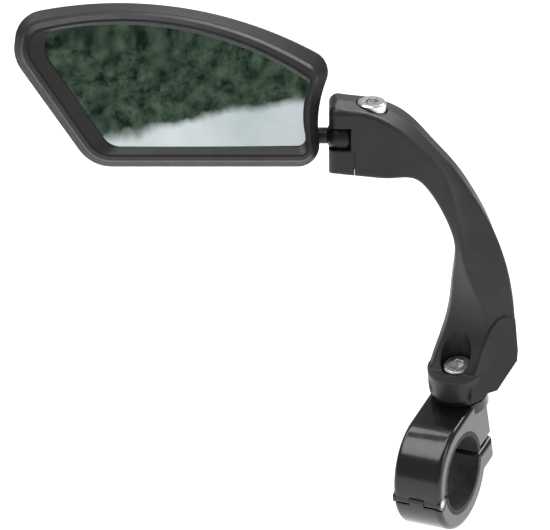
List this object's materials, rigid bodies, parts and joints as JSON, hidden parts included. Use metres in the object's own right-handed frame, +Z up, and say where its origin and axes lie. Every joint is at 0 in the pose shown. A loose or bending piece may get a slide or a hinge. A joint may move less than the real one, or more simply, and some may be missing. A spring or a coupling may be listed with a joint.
{
  "type": "bike mirror",
  "caption": "Handlebar rear-view mirror: hinged bar clamp, swinging curved arm and a framed convex mirror on a ball joint.",
  "frame": {"origin": "on the handlebar's axis, at the middle of the clamp's width", "axes": "+X along the handlebar towards its middle, +Y away from the rider, +Z up"},
  "size_m": [0.1347, 0.0743, 0.1613],
  "materials": {
    "clamp_paint": "gloss",
    "liner_rubber": "matte",
    "steel": "satin",
    "screw_steel": "satin",
    "nylon": "satin",
    "arm_plastic": "satin",
    "shell_plastic": "satin",
    "mirror": "polished",
    "foam": "matte"
  },
  "bodies": {
    "clamp": {"clamp_body": "clamp_paint", "upper_liner": "liner_rubber", "hinge_pin": "steel", "friction_disc": "nylon", "pivot_bush": "steel", "pivot_washer": "steel", "pivot_screw": "screw_steel"},
    "band": {"clamp_band": "clamp_paint", "lower_liner": "liner_rubber", "clamp_screw": "screw_steel", "clamp_washer": "steel"},
    "arm": {"arm": "arm_plastic", "jaw": "arm_plastic", "jaw_screw": "screw_steel", "jaw_washer": "steel", "jaw_nut": "steel"},
    "ball": {"pivot_ball": "nylon"},
    "stem": {"ball_stem": "nylon", "stem_washer": "steel", "stem_nut": "steel"},
    "mirror_head": {"back_shell": "shell_plastic", "bezel": "shell_plastic", "mirror_glass": "mirror", "glass_pad": "foam"}
  },
  "joints": [
    {"name": "band_open", "type": "hinge", "parent": "clamp", "child": "band", "pos_m": [0, -0.01407, -0.00429], "axis": [-1, 0, 0], "range_deg": [0, 60]},
    {"name": "arm_swing", "type": "hinge", "parent": "clamp", "child": "arm", "pos_m": [0.0012, 0.01139, 0.02277], "axis": [0, -0.2588, 0.9659], "continuous": true},
    {"name": "ball_yaw", "type": "hinge", "parent": "arm", "child": "ball", "pos_m": [-0.02884, -0.0066, 0.10446], "axis": [0, 0, 1], "range_deg": [-12, 12]},
    {"name": "ball_roll", "type": "hinge", "parent": "ball", "child": "stem", "pos_m": [-0.02884, -0.0066, 0.10446], "axis": [0.4305, -0.9026, 0], "range_deg": [-5, 5]},
    {"name": "head_tilt", "type": "hinge", "parent": "stem", "child": "mirror_head", "pos_m": [-0.02884, -0.0066, 0.10446], "axis": [0.9026, 0.4305, 0], "range_deg": [-30, 30]}
  ]
}
